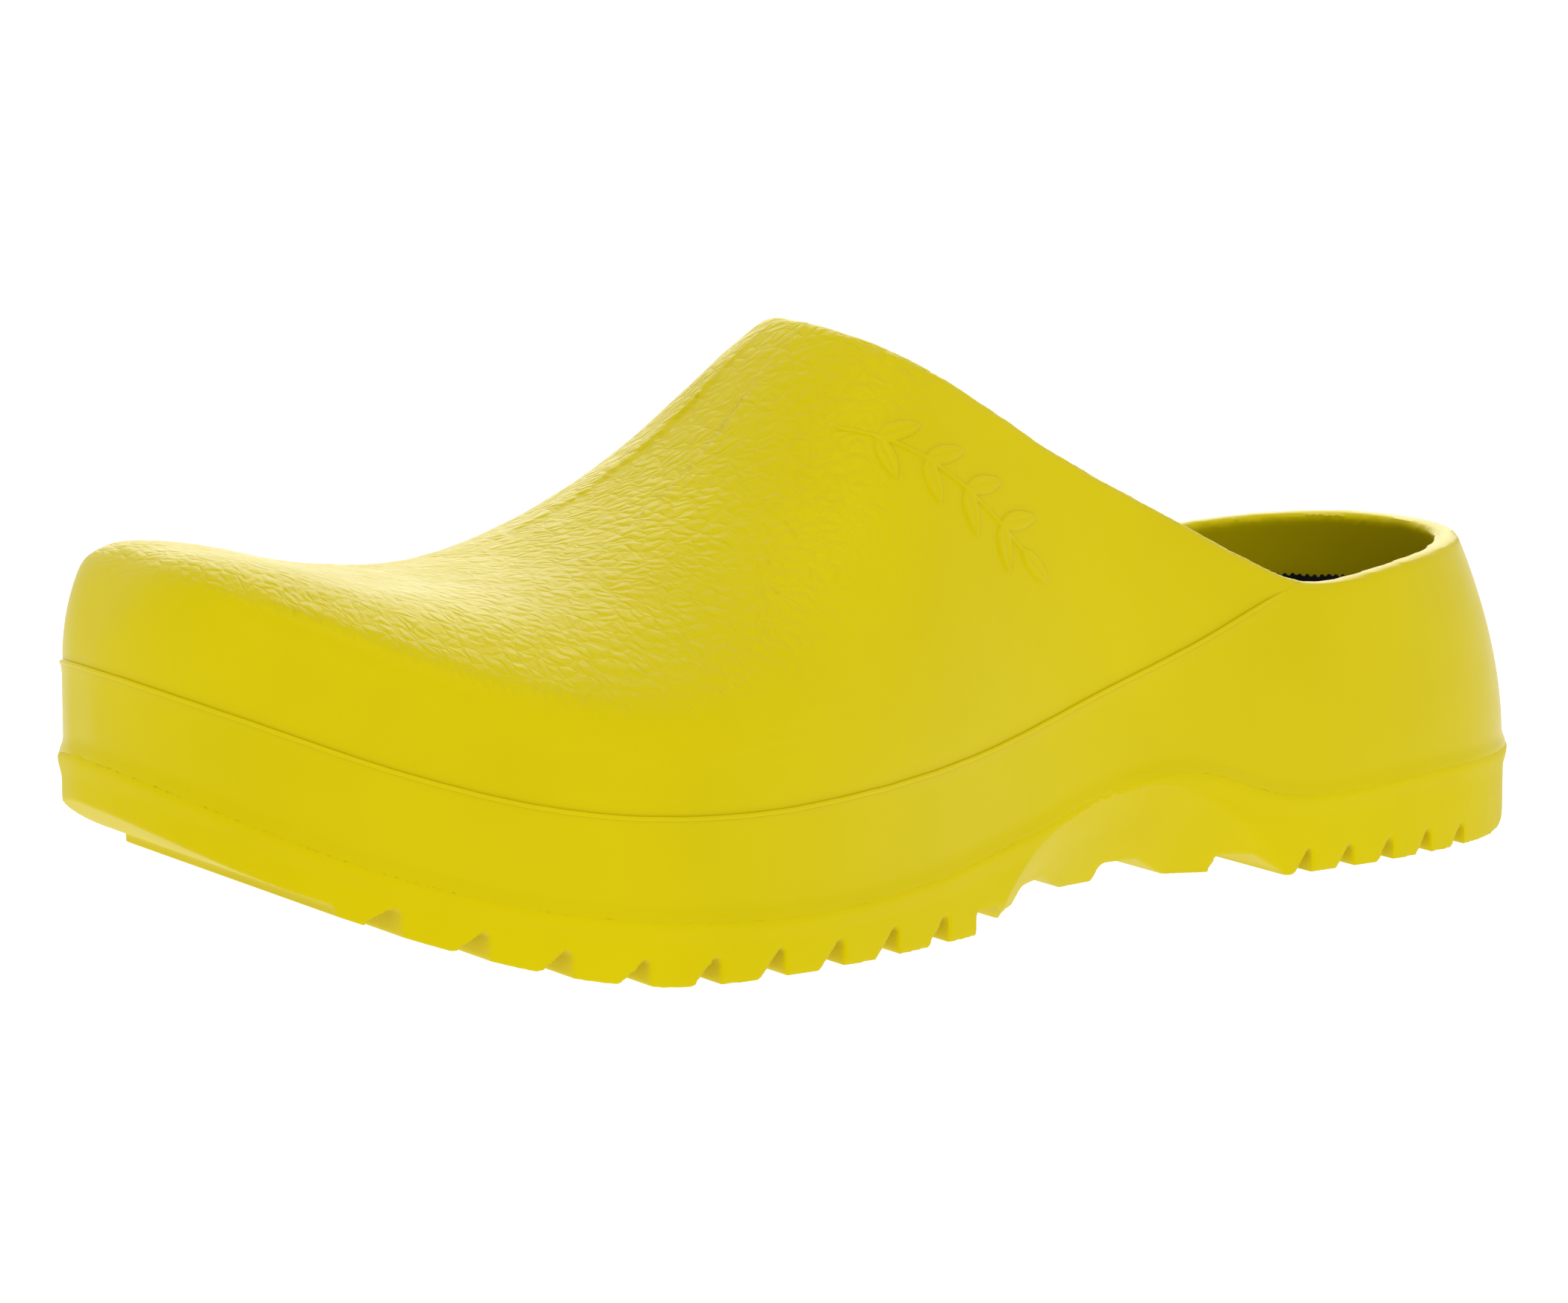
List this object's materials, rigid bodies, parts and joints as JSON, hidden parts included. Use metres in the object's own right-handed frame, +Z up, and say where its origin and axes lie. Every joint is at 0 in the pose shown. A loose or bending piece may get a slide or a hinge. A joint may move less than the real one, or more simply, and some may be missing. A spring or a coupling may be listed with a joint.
{
  "type": "garden clog",
  "caption": "Closed-heel moulded garden clog for the left foot, grained vamp, lugged sole and loose contoured footbed.",
  "frame": {"origin": "on the floor under the middle of the clog's bounding box", "axes": "+Z up, toe towards -Y, outer (lateral) side towards +X"},
  "size_m": [0.1006, 0.2721, 0.0963],
  "materials": {
    "yellow_foam_grained": "satin moulded polyurethane foam with a pebbled leather grain",
    "yellow_foam_smooth": "satin smooth moulded polyurethane foam",
    "yellow_foam_sole": "satin smooth moulded polyurethane foam",
    "coarse_jute": "coarse woven jute",
    "cork_latex": "granulated cork bound with latex",
    "fine_jute": "fine woven jute",
    "black_microfibre": "brushed microfibre, nearly black"
  },
  "bodies": {
    "shell": {"vamp_upper": "yellow_foam_grained", "side_wall": "yellow_foam_smooth", "outsole": "yellow_foam_sole"},
    "footbed": {"footbed_bottom_jute": "coarse_jute", "footbed_core": "cork_latex", "footbed_top_jute": "fine_jute", "footbed_lining": "black_microfibre"}
  },
  "joints": [
    {"name": "footbed_lift", "type": "hinge", "parent": "shell", "child": "footbed", "pos_m": [0, -0.1285, 0.0332], "axis": [1, 0, 0], "range_deg": [0, 2.2]}
  ]
}
